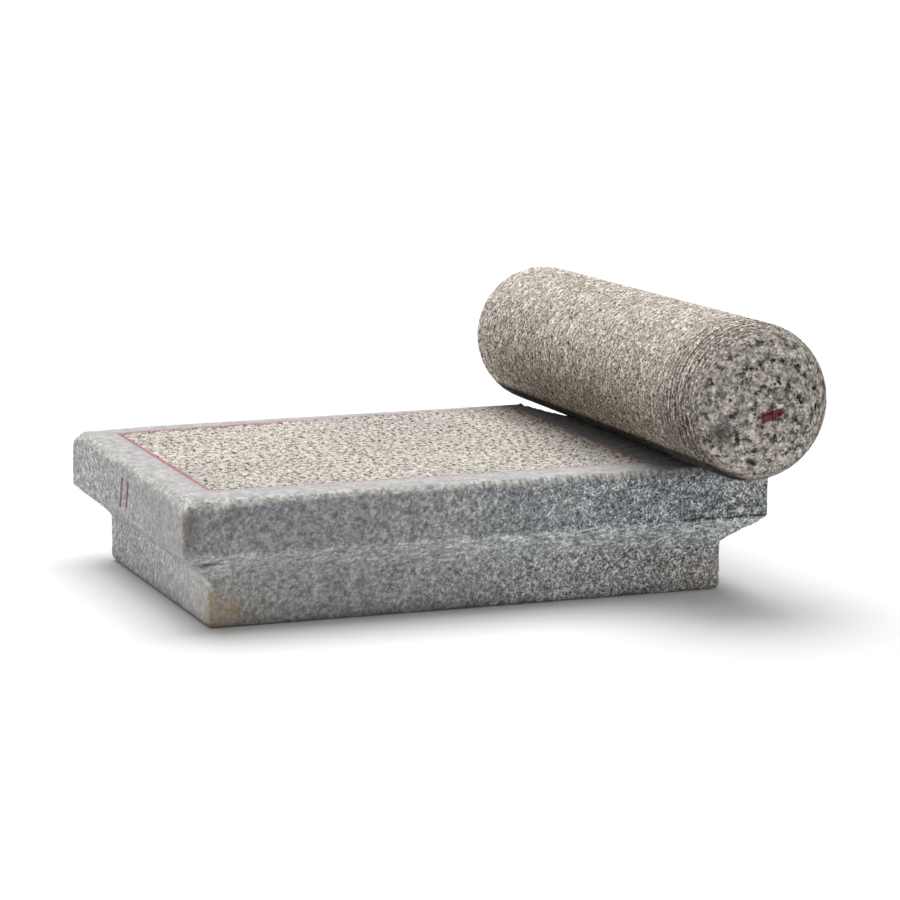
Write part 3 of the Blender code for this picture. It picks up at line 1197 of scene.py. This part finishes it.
        # Painted light: the front is lightened up to 1.8 times towards the right end, most on the plinth;
        # the left end's plinth is lightened 1.42 times, and its block is lighter at the far corner than at
        # the near one.
        front_painted_light = graph.either(towards_right, 0.99, graph.either(plinth, 1.80, 1.60))
        end_painted_light = graph.either(plinth, graph.either(near_left, 1.18, 0.92), 1.42)
        painted_light = graph.either(left_end, front_painted_light, end_painted_light)
        sides = graph.tint(1.0, sides, painted_light, blend="MULTIPLY")
        cold_share = graph.either(towards_right, 0.10, graph.either(plinth, 0.40, 0.10))
        cold = graph.step(coarse["Mottle"], 0.46, 0.62) * cold_share
        cold = cold * graph.either(undercut, 1.0, 0.4) * (1.0 - left_end)
        sides = graph.tint(cold, sides, finish.slate_blue)
        front_swing = graph.either(towards_right, 0.26, 0.40)
        swing = graph.either(left_end, front_swing, graph.either(near_left, 0.32, 0.15))
        speck_share = graph.either(towards_right, 0.24, graph.either(undercut, 0.97, 0.64))
        speck_share = graph.either(left_end, speck_share, graph.either(near_left, 0.50, 0.10))
        specks = stone.grain(stone.place, 0.90 * MM, 0.43)
        marks = graph.either(undercut, dressed(graph, stone.place), streaked(graph, stone.place, end))
        sides = stone.toned(sides, (fine["Tone"], swing), (specks["Tone"], speck_share * 0.56),
                            (coarse["Tone"], swing * 0.40))
        sides = stone.covered(sides, finish.dark_grain, specks["Dark"] * speck_share,
                              fine["Dark"] * (swing * 1.2), marks * swing)
        return sides, marks * swing

    def _weathering(self, stone: StoneMaterial, finish: SlabFinish, colour: Any, z: Any, coarse: Any) -> Any:
        """Rust, grime and the crack where the photograph shows them.

        Args:
            stone: the material being wired.
            finish: the slab's colours.
            colour: the clean stone.
            z: the height.
            coarse: the coarse grain's outputs.

        Returns:
            The weathered colour.
        """
        graph = stone.graph
        plinth_front = self.front + self.plinth_setback_sides
        plinth_left = self.left + self.plinth_setback_left
        right = self.left + self.length
        patches = (
            ((plinth_left + 3 * MM, plinth_front, 5 * MM), (17 * MM, 9 * MM, 14 * MM),
             0.9, 0.50, finish.rust),
            ((plinth_left, plinth_front, 13 * MM), (2.2 * MM, 2.2 * MM, 6 * MM), 0.5, 0.5, finish.rust),
            ((self.left + 2 * MM, self.front, self.plinth_height + 22 * MM), (7 * MM, 3 * MM, 17 * MM),
             0.6, 0.55, finish.grime),
            ((self.left + 11 * MM, self.front + 4 * MM, self.plinth_height + 7.5 * MM),
             (6 * MM, 4 * MM, 1.8 * MM), 0.3, 0.85, finish.dark_grain),
            ((right - 24 * MM, plinth_front, 8 * MM), (22 * MM, 6 * MM, 9 * MM), 0.9, 0.20, finish.rust),
        )
        for centre, spread, break_up, strength, tone in patches:
            colour = graph.tint(stone.stain(centre, spread, break_up) * strength, colour, tone)
        crack = crevice_line(graph, stone.place, self.crevice_height, right - self.crevice_reach)
        colour = graph.tint(crack * 0.8, colour, finish.crack)
        dirt = graph.step(graph.math("MULTIPLY_ADD", coarse["Mottle"], 7.0 * MM, z), 9.0 * MM, 2.5 * MM)
        return graph.tint(dirt * 0.38, colour, finish.grime)

    def _frame_paint(self, stone: StoneMaterial, point: tuple[Any, Any], past: list[Value]) -> Value:
        """The brushed frame round the pecked field.

        Args:
            stone: the material being wired.
            point: the places along and across the slab.
            past: how far a point lies past the frame's right side, far side and either long side.

        Returns:
            The mask of the paint.
        """
        graph = stone.graph
        x, y = point
        past_left = self.field_box[0] - x
        past_ends = graph.math("MAXIMUM", past_left, past[0])
        far_strength = graph.step(x, self.left + 60.0 * MM, self.left + 110.0 * MM, 0.55, 0.20)
        lines = (
            (past_left, past[2], 2.4 * MM, Wear.FRESH, 0.62),
            (y - self.field_box[2], past_ends, 1.8 * MM, Wear.RUBBED, 0.55),
            (past[1], past_ends, 2.6 * MM, Wear.RUBBED, far_strength),
            (past[0], past[2], 2.0 * MM, Wear.RUBBED, 0.42),
        )
        return stone.most([stone.stroke(across, beyond, width, wear.value) * strength
                           for across, beyond, width, wear, strength in lines])

    def _tally_paint(self, stone: StoneMaterial, point: tuple[Any, Any, Any]) -> Value:
        """The two plain strokes on the left end.

        Args:
            stone: the material being wired.
            point: the three coordinates.

        Returns:
            The mask of the paint.
        """
        x, y, z = point
        middle = z - self.tally_height
        past_tip = abs(middle) - 0.5 * self.tally_length
        lean = middle * self.tally_lean
        strokes = [
            stone.stroke(y - (self.front + place) - lean, past_tip, self.tally_width, Wear.RUBBED.value)
            for place in self.tally_places]
        on_end = stone.graph.step(x, self.left + 2.0 * MM, self.left + 1.0 * MM)
        return stone.most(strokes) * on_end * 0.80


@dataclass
class RollerStone:
    """The roller: a pecked cylinder with domed ends and a slight taper."""

    node: str = "roller_stone"
    length: float = 244.5 * MM
    near_diameter: float = 65.0 * MM
    far_diameter: float = 60.9 * MM
    dome_depth: float = 24.0 * MM
    dome_fullness: float = 2.05
    front_overhang: float = 55.8 * MM
    overall_length: float = 244.8 * MM
    setback_from_right: float = 29.7 * MM
    yaw_degrees: float = 2.7
    resting_gap: float = 0.3 * MM
    dab_middle: tuple[float, float] = (-0.9 * MM, -1.4 * MM)
    dab_length: float = 12.6 * MM
    dab_rise: float = 0.31
    gouge_middle: tuple[float, float, float] = (-7.4 * MM, -116.6 * MM, -21.4 * MM)
    crystals: tuple[tuple[float, float], ...] = (
        (-19.2 * MM, -3.6 * MM), (-10.1 * MM, -10.8 * MM), (-5.0 * MM, -17.0 * MM), (-15.5 * MM, -19.9 * MM),
        (-5.8 * MM, 7.3 * MM), (8.7 * MM, -0.4 * MM), (-1.5 * MM, 16.0 * MM))
    peck_depth: float = 0.50 * MM
    end_depth: float = 0.35 * MM
    gouge_depth: float = 1.3 * MM
    gouge_size: tuple[float, float] = (4.2 * MM, 1.6 * MM)
    colour_relief: float = 1.0 * MM
    half_taper: float = 0.0103
    ring_pitch: float = 2.7 * MM
    end_ring_pitch: float = 8.5 * MM
    around: int = 280
    along: int = 338
    dome_rows_share: float = 0.15

    def place(self, slab: GrindingSlab) -> tuple[Vector, Vector]:
        """The middle of the roller's axis and its turn, resting level on the slab.

        Args:
            slab: the slab under it.

        Returns:
            The location, and the rotation as Euler angles.
        """
        body = self.overall_length - 2.0 * self.dome_depth
        taper = math.atan2(0.5 * (self.near_diameter - self.far_diameter), body)
        rise = math.atan2(slab.height - slab.near_height, slab.width)
        middle_radius = 0.25 * (self.near_diameter + self.far_diameter)
        across = slab.front + 0.5 * self.overall_length - self.front_overhang
        height = slab.face_height(across) + self.resting_gap
        height += middle_radius * math.cos(taper) / math.cos(rise)
        location = Vector((slab.left + slab.length - self.setback_from_right, across, height))
        return location, Vector((rise - taper, 0.0, math.radians(self.yaw_degrees)))

    def _turning_tree(self) -> bpy.types.NodeTree:
        """Geometry nodes that wrap a grid round the roller's profile and peck it.

        Returns:
            The tree.
        """
        graph, given = modifier_graph("roller_turning", {
            "Float": ("Length", "Near Radius", "Far Radius", "Dome Depth", "Fullness", "Dome Rows",
                      "Peck Depth", "End Depth", "Gouge Depth"),
            "Int": ("Around", "Along"), "Vector": ("Place",), "Rotation": ("Turn",)})
        sheet = graph.add("GeometryNodeMeshGrid", {
            "Size X": 1.0, "Size Y": 1.0, "Vertices X": given["Around"],
            "Vertices Y": given["Along"]}).outputs[0]
        u, v = graph.split(graph.add("GeometryNodeInputPosition").outputs[0])[:2]
        row = v + 0.5
        turn = u * (-2.0 * math.pi)
        rows = given["Dome Rows"]
        near_in, far_in = (
            graph.math("COSINE", graph.math("DIVIDE", share, rows, clamp=True) * (0.5 * math.pi))
            for share in (row, 1.0 - row))
        body_share = graph.math("DIVIDE", row - rows, 1.0 - rows * 2.0, clamp=True)
        body_length = given["Length"] - given["Dome Depth"] * 2.0
        run = (1.0 - near_in) * given["Dome Depth"]
        run = run + (body_length * body_share + far_in * given["Dome Depth"])
        axial = run - given["Length"] * 0.5
        radius = graph.either(body_share, given["Near Radius"], given["Far Radius"])
        for inwards in (near_in, far_in):
            powered = graph.math("POWER", graph.math("MAXIMUM", inwards, 0.0), given["Fullness"])
            left = graph.math("SUBTRACT", 1.0, powered, clamp=True)
            radius = radius * graph.math("POWER", left, 1.0 / given["Fullness"])
        wrapped = graph.joined(radius * graph.math("COSINE", turn), axial, radius * graph.math("SINE", turn))
        rolled = graph.add("GeometryNodeSetPosition", {"Geometry": sheet, "Position": wrapped}).outputs[0]
        merging = {"Geometry": rolled, "Distance": 0.01 * MM}
        closed = graph.add("GeometryNodeMergeByDistance", merging).outputs[0]

        place = graph.add("GeometryNodeInputPosition").outputs[0]
        y = graph.split(place)[1]
        normal = graph.add("GeometryNodeInputNormal").outputs[0]
        end_share = graph.step(abs(graph.split(normal)[1]), 0.30, 0.75)
        rings = graph.noise(graph.joined(0.0, y, 0.0), 800.0, detail=1.0)
        body_cut = wound(graph, place) * given["Peck Depth"] + rings * (0.12 * MM)
        end_cut = blotched(graph, place) * given["End Depth"]
        rolling = graph.noise(place, 30.0, detail=2.0) * (0.2 * MM)
        cut = graph.either(end_share, body_cut, end_cut) + rolling
        cut = cut + self.gouge(graph, place) * given["Gouge Depth"]
        geometry = with_attributes(graph, closed, {Attribute.END: end_share})
        offset = graph.scaled(normal, cut * -1.0)
        moved = graph.add("GeometryNodeSetPosition", {"Geometry": geometry, "Offset": offset}).outputs[0]
        laid = graph.add("GeometryNodeTransform", {"Geometry": moved, "Translation": given["Place"],
                                                   "Rotation": given["Turn"]}).outputs[0]
        dress_output(graph, laid, given["Material"])
        return graph.tree

    def gouge(self, graph: NodeGraph, own: Any) -> Value:
        """The chip in the near dome, low on its left.

        Args:
            graph: the tree being wired.
            own: the point in the roller's own coordinates.

        Returns:
            1 at the chip's floor, 0 outside.
        """
        offset = graph.vector("SUBTRACT", own, self.gouge_middle)
        along = graph.measured("DOT_PRODUCT", offset, (0.88, 0.10, -0.47))
        across = graph.measured("DOT_PRODUCT", offset, (0.47, 0.20, 0.86))
        shares = graph.joined(along / self.gouge_size[0], across / self.gouge_size[1], 0.0)
        near = graph.step(graph.measured("LENGTH", offset), 9.0 * MM, 7.0 * MM)
        return graph.step(graph.measured("LENGTH", shares), 1.0, 0.35) * near

    def build(self, slab: GrindingSlab, material: bpy.types.Material) -> bpy.types.Object:
        """Make the roller where it rests on the slab.

        Args:
            slab: the slab under it.
            material: the roller's granite.

        Returns:
            The finished piece.
        """
        piece = linked_object("roller_of_granite", bpy.data.meshes.new(self.node))
        location, turn = self.place(slab)
        shape_by_nodes(piece, self._turning_tree(), {
            "Material": material, "Length": self.length, "Near Radius": 0.5 * self.near_diameter,
            "Far Radius": 0.5 * self.far_diameter, "Dome Depth": self.dome_depth,
            "Fullness": self.dome_fullness, "Dome Rows": self.dome_rows_share,
            "Peck Depth": self.peck_depth, "End Depth": self.end_depth, "Gouge Depth": self.gouge_depth,
            "Around": self.around + 1, "Along": self.along + 1, "Place": location, "Turn": turn})
        return piece

    def granite(self, slab: GrindingSlab, patterns: StonePatterns,
                finish: RollerFinish) -> bpy.types.Material:
        """The roller's stone: cream pecked body with wound streaks, coarse salt-and-pepper ends.

        Args:
            slab: the slab under it, which sets the roller's place.
            patterns: the shared node groups.
            finish: the roller's colours.

        Returns:
            The material.
        """
        stone = StoneMaterial("roller_granite_dressed", patterns, finish.roughness)
        graph = stone.graph
        location, turn = self.place(slab)
        own = graph.add("ShaderNodeMapping", {"Vector": stone.place, "Location": location, "Rotation": turn},
                        vector_type="TEXTURE").outputs[0]
        end = stone.carried(Attribute.END)
        grains = (stone.grain(own, 1.6 * MM), stone.grain(own, 4.5 * MM), stone.grain(own, 0.88 * MM, 0.42))
        marks = wound(graph, own)
        blots = blotched(graph, own)
        body, calm = self._body_colour(stone, finish, own, grains, marks)
        colour = graph.tint(end, body, self._end_colour(stone, finish, own, grains, blots))
        colour = graph.tint(self._crystals(stone, own), colour, finish.crystal)
        colour = graph.tint(self.gouge(graph, own) * 0.92, colour, finish.dark_grain)
        colour = graph.tint(self._dab(stone, own), colour, finish.paint)
        height = stone.skin(own, 0.8 * MM) * 0.5 - graph.either(end, marks * calm, blots)
        return stone.finish(colour, height, self.colour_relief)

    def _body_colour(self, stone: StoneMaterial, finish: RollerFinish, own: Any, grains: tuple[Any, ...],
                     marks: Value) -> tuple[Any, Value]:
        """The cream body: wound pecking, turned rings towards the near end, painted shade on its lower left
        side, a painted contact shadow along its bottom and painted shade on its far rim.

        Args:
            stone: the material being wired.
            finish: the roller's colours.
            own: the point in the roller's own coordinates.
            grains: the outputs of the fine grain, the coarse grain and the specks.
            marks: the mask of the wound pecking.

        Returns:
            The colour, and how far the pecking shows, less where the top is worn.
        """
        graph = stone.graph
        x, y, z = graph.split(own)
        fine, coarse, specks = grains
        near_tip = -0.5 * self.length
        along = graph.joined(0.0, y, 0.0)
        wound_specks = stone.grain(graph.joined(x * 0.62, y, z * 0.62), 0.95 * MM, 0.42)
        shoulder = graph.step(abs(y - (near_tip + 19.0 * MM)), 12.0 * MM, 4.0 * MM)
        worn_top = graph.step(z, 4.0 * MM, 26.0 * MM) * (1.0 - shoulder)
        calm = graph.either(shoulder, graph.either(worn_top, 1.0, 0.88), 1.0)
        body = stone.toned(finish.body, (fine["Tone"], 0.13), (specks["Tone"], calm * 0.50),
                           (coarse["Tone"], 0.12))

        rings = graph.step(graph.noise(along, 900.0, detail=1.0), 0.56, 0.42)
        near_rings = graph.step(y, near_tip + 52.0 * MM, near_tip + 22.0 * MM, 0.09, 0.42)
        drift = graph.noise(own, 70.0) * 5.0
        wave = graph.math("SINE", graph.math("MULTIPLY_ADD", y, 2.0 * math.pi / self.ring_pitch, drift))
        turned = graph.step(y, near_tip + 46.0 * MM, near_tip + 30.0 * MM)
        turned = turned * graph.step(y, near_tip + 9.0 * MM, near_tip + 15.0 * MM)
        body = stone.covered(body, finish.pit, marks * graph.either(worn_top, 0.26, 0.09),
                             wound_specks["Dark"] * calm, fine["Dark"] * graph.either(shoulder, 0.08, 0.24),
                             rings * near_rings, graph.step(wave, 0.1, 0.9) * (turned * 0.60))
        bands = graph.step(graph.noise(along, 330.0, detail=1.0), 0.40, 0.60)
        band_swing = graph.step(y, near_tip + 56.0 * MM, near_tip + 26.0 * MM, 0.04, 0.24)
        body = stone.toned(body, (bands, band_swing))

        # Painted shade: the lower left side is multiplied darker, to about half, and less so towards the far
        # end.
        lower_left = z + x * 0.45
        underside_shade = graph.step(lower_left, -2.0 * MM, -30.0 * MM)
        underside_shade = underside_shade * graph.step(y, 30.0 * MM, 105.0 * MM, 1.0, 0.35)
        body = graph.tint(underside_shade, body, finish.shade, blend="MULTIPLY")
        # Painted contact shadow: a near-black band along the bottom of the lower left side, where the roller
        # rests on the slab.
        beneath = graph.math("MULTIPLY_ADD", y, -self.half_taper, lower_left)
        contact_shadow_band = graph.step(beneath, -30.8 * MM, -32.5 * MM)
        contact_shadow_band = contact_shadow_band * graph.step(y, near_tip + 10.0 * MM, near_tip + 15.0 * MM)
        body = graph.tint(contact_shadow_band * 0.92, body, finish.contact_shadow)
        far_band = graph.step(abs(y - (0.5 * self.length - 22.0 * MM)), 9.0 * MM, 3.0 * MM)
        body = stone.toned(body, (1.0, far_band * 0.12))
        # Painted shade: the far dome's rim is darkened with the grime colour where it turns away from the
        # light.
        far_rim_shade = graph.step(y, 0.5 * self.length - 13.0 * MM, 0.5 * self.length - 6.0 * MM)
        return graph.tint(far_rim_shade * 0.80, body, finish.grime), calm

    def _end_colour(self, stone: StoneMaterial, finish: RollerFinish, own: Any, grains: tuple[Any, ...],
                    blots: Value) -> Any:
        """The coarse ends: dark blots in faint rings, darker towards the right of the rim.

        Args:
            stone: the material being wired.
            finish: the roller's colours.
            own: the point in the roller's own coordinates.
            grains: the outputs of the fine grain, the coarse grain and the specks.
            blots: the mask of the coarse pits.

        Returns:
            The colour.
        """
        graph = stone.graph
        x, _, z = graph.split(own)
        fine, coarse, specks = grains
        from_axis = graph.measured("LENGTH", graph.joined(x, 0.0, z))
        ring_wave = graph.math("SINE", from_axis * (2.0 * math.pi / self.end_ring_pitch))
        ringed = graph.math("MULTIPLY_ADD", ring_wave, 0.34, 0.68)
        towards_right = graph.step(x + z * 0.35, -24.0 * MM, 24.0 * MM)
        fine_dark = fine["Dark"] * graph.either(towards_right, 0.66, 1.0)
        blot_share = graph.math("MULTIPLY", blots, graph.either(towards_right, 0.96, 1.15), clamp=True)
        rim_shade = graph.step(from_axis, 22.0 * MM, 31.0 * MM) * towards_right
        dark_patch = stone.stain((-22.5 * MM, -0.5 * self.length + 5.5 * MM, -8.6 * MM),
                                 (7 * MM, 8 * MM, 7 * MM), 0.5, own)
        head = stone.toned(finish.end, (fine["Tone"], 0.34), (coarse["Tone"], 0.30), (specks["Tone"], 0.20))
        return stone.covered(head, finish.dark_grain, fine_dark * ringed, blot_share * ringed,
                             rim_shade * 0.40, dark_patch * 0.85)

    def _crystals(self, stone: StoneMaterial, own: Any) -> Value:
        """The few pale crystals that catch the eye on the near end.

        Args:
            stone: the material being wired.
            own: the point in the roller's own coordinates.

        Returns:
            The mask of the crystals.
        """
        near_tip = -0.5 * self.length
        y = stone.graph.split(own)[1]
        spots = [stone.stain((across, near_tip, up), (1.3 * MM, 60.0 * MM, 1.1 * MM), 0.4, own)
                 for across, up in self.crystals]
        at_near_end = stone.graph.step(y, near_tip + 14.0 * MM, near_tip + 11.0 * MM)
        return stone.most(spots) * (at_near_end * 0.75)

    def _dab(self, stone: StoneMaterial, own: Any) -> Value:
        """The dab of red paint on the near end, solid at its left and rubbed towards its right.

        Args:
            stone: the material being wired.
            own: the point in the roller's own coordinates.

        Returns:
            The mask of the paint.
        """
        graph = stone.graph
        x, y, z = graph.split(own)
        along = x - self.dab_middle[0]
        across = z - self.dab_middle[1] - along * self.dab_rise
        width = graph.step(along, -6.0 * MM, 6.0 * MM, 4.2 * MM, 2.9 * MM)
        wear = graph.step(along, -2.0 * MM, 5.0 * MM, 0.20, 0.50)
        dab = stone.stroke(across, abs(along) - 0.5 * self.dab_length, width, wear)
        at_tip = graph.step(y, -0.5 * self.length + 4.0 * MM, -0.5 * self.length + 2.0 * MM)
        return dab * at_tip * 0.92


@dataclass
class Studio:
    """The floor, the light and the camera at the photograph's viewing angle."""

    azimuth_degrees: float = 21.15
    elevation_degrees: float = 10.59
    roll_degrees: float = 0.44
    distance: float = 1.597
    aim_height: float = 0.045
    frame_shift_right: float = 0.0163
    frame_shift_up: float = 0.0085
    focal_pixels: float = 3775.0
    image_pixels: float = 900.0
    sensor_mm: float = 36.0
    floor_size: float = 8.0
    floor_colour: tuple[float, ...] = (0.93, 0.93, 0.93, 1.0)
    floor_roughness: float = 0.9
    nearest: float = 0.05
    farthest: float = 50.0
    world_strength: float = 0.32
    overhead_strength: float = 2.8
    overhead_spread_degrees: float = 58.0
    overhead_from: tuple[float, float, float] = (0.03, 0.26, 1.0)

    def floor(self) -> bpy.types.Object:
        """A pale floor that the quern stands on.

        Returns:
            The floor.
        """
        half = 0.5 * self.floor_size
        corners = [(-half, -half, 0.0), (half, -half, 0.0), (half, half, 0.0), (-half, half, 0.0)]
        mesh = bpy.data.meshes.new("studio_floor")
        mesh.from_pydata(corners, [], [(0, 1, 2, 3)])
        ground = linked_object("studio_floor", mesh)
        paper = bpy.data.materials.new("pale_paper")
        paper.use_nodes = True
        shader = paper.node_tree.nodes["Principled BSDF"]
        shader.inputs["Base Color"].default_value = self.floor_colour
        shader.inputs["Roughness"].default_value = self.floor_roughness
        mesh.materials.append(paper)
        return ground

    def light(self) -> None:
        """A dim white room and one broad overhead light, a little behind the quern."""
        world = bpy.data.worlds.new("white_room")
        world.use_nodes = True
        background = world.node_tree.nodes["Background"]
        background.inputs["Color"].default_value = (1.0, 1.0, 1.0, 1.0)
        background.inputs["Strength"].default_value = self.world_strength
        bpy.context.scene.world = world
        data = bpy.data.lights.new("overhead_light", "SUN")
        data.energy = self.overhead_strength
        data.angle = math.radians(self.overhead_spread_degrees)
        lamp = linked_object("overhead_light", data)
        lamp.rotation_euler = Vector(self.overhead_from).to_track_quat("Z", "Y").to_euler()

    def camera(self) -> bpy.types.Object:
        """The camera, set from the view fitted to the photograph.

        Returns:
            The camera.
        """
        azimuth = math.radians(self.azimuth_degrees)
        elevation = math.radians(self.elevation_degrees)
        roll = math.radians(self.roll_degrees)
        level_back = Vector((-math.sin(azimuth), -math.cos(azimuth), 0.0))
        back = level_back * math.cos(elevation) + Vector((0.0, 0.0, math.sin(elevation)))
        level_right = Vector((math.cos(azimuth), -math.sin(azimuth), 0.0))
        level_up = back.cross(level_right)
        right = level_right * math.cos(roll) + level_up * math.sin(roll)
        up = level_up * math.cos(roll) - level_right * math.sin(roll)
        aim = Vector((0.0, 0.0, self.aim_height))
        eye = aim + back * self.distance + right * self.frame_shift_right + up * self.frame_shift_up
        data = bpy.data.cameras.new("studio_camera")
        data.sensor_width = self.sensor_mm
        data.lens = self.focal_pixels / self.image_pixels * self.sensor_mm
        data.clip_start = self.nearest
        data.clip_end = self.farthest
        view = linked_object("studio_camera", data)
        view.matrix_world = Matrix.Translation(eye) @ Matrix((right, up, back)).transposed().to_4x4()
        bpy.context.scene.camera = view
        return view

    def build(self) -> None:
        """Set up everything round the quern, with plain colour rendering."""
        self.floor()
        self.light()
        self.camera()
        bpy.context.scene.view_settings.view_transform = "Standard"


def seat(piece: bpy.types.Object, node: str) -> None:
    """Put a piece in the frame and log its size.

    Args:
        piece: the finished piece.
        node: the solid that it stands for.
    """
    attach(piece, "root")
    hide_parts(node)
    piece.data.calc_loop_triangles()
    log.info("%s: %d triangles", piece.name, len(piece.data.loop_triangles))


def main() -> None:
    """Build the studio and both stones."""
    logging.basicConfig(level=logging.INFO, format="%(name)s: %(message)s")
    Studio().build()
    patterns = StonePatterns()
    slab = GrindingSlab()
    roller = RollerStone()
    seat(slab.build(slab.granite(patterns, SlabFinish())), slab.node)
    roller_stone = roller.granite(slab, patterns, RollerFinish())
    seat(roller.build(slab, roller_stone), roller.node)


if __name__ == "__main__":
    main()
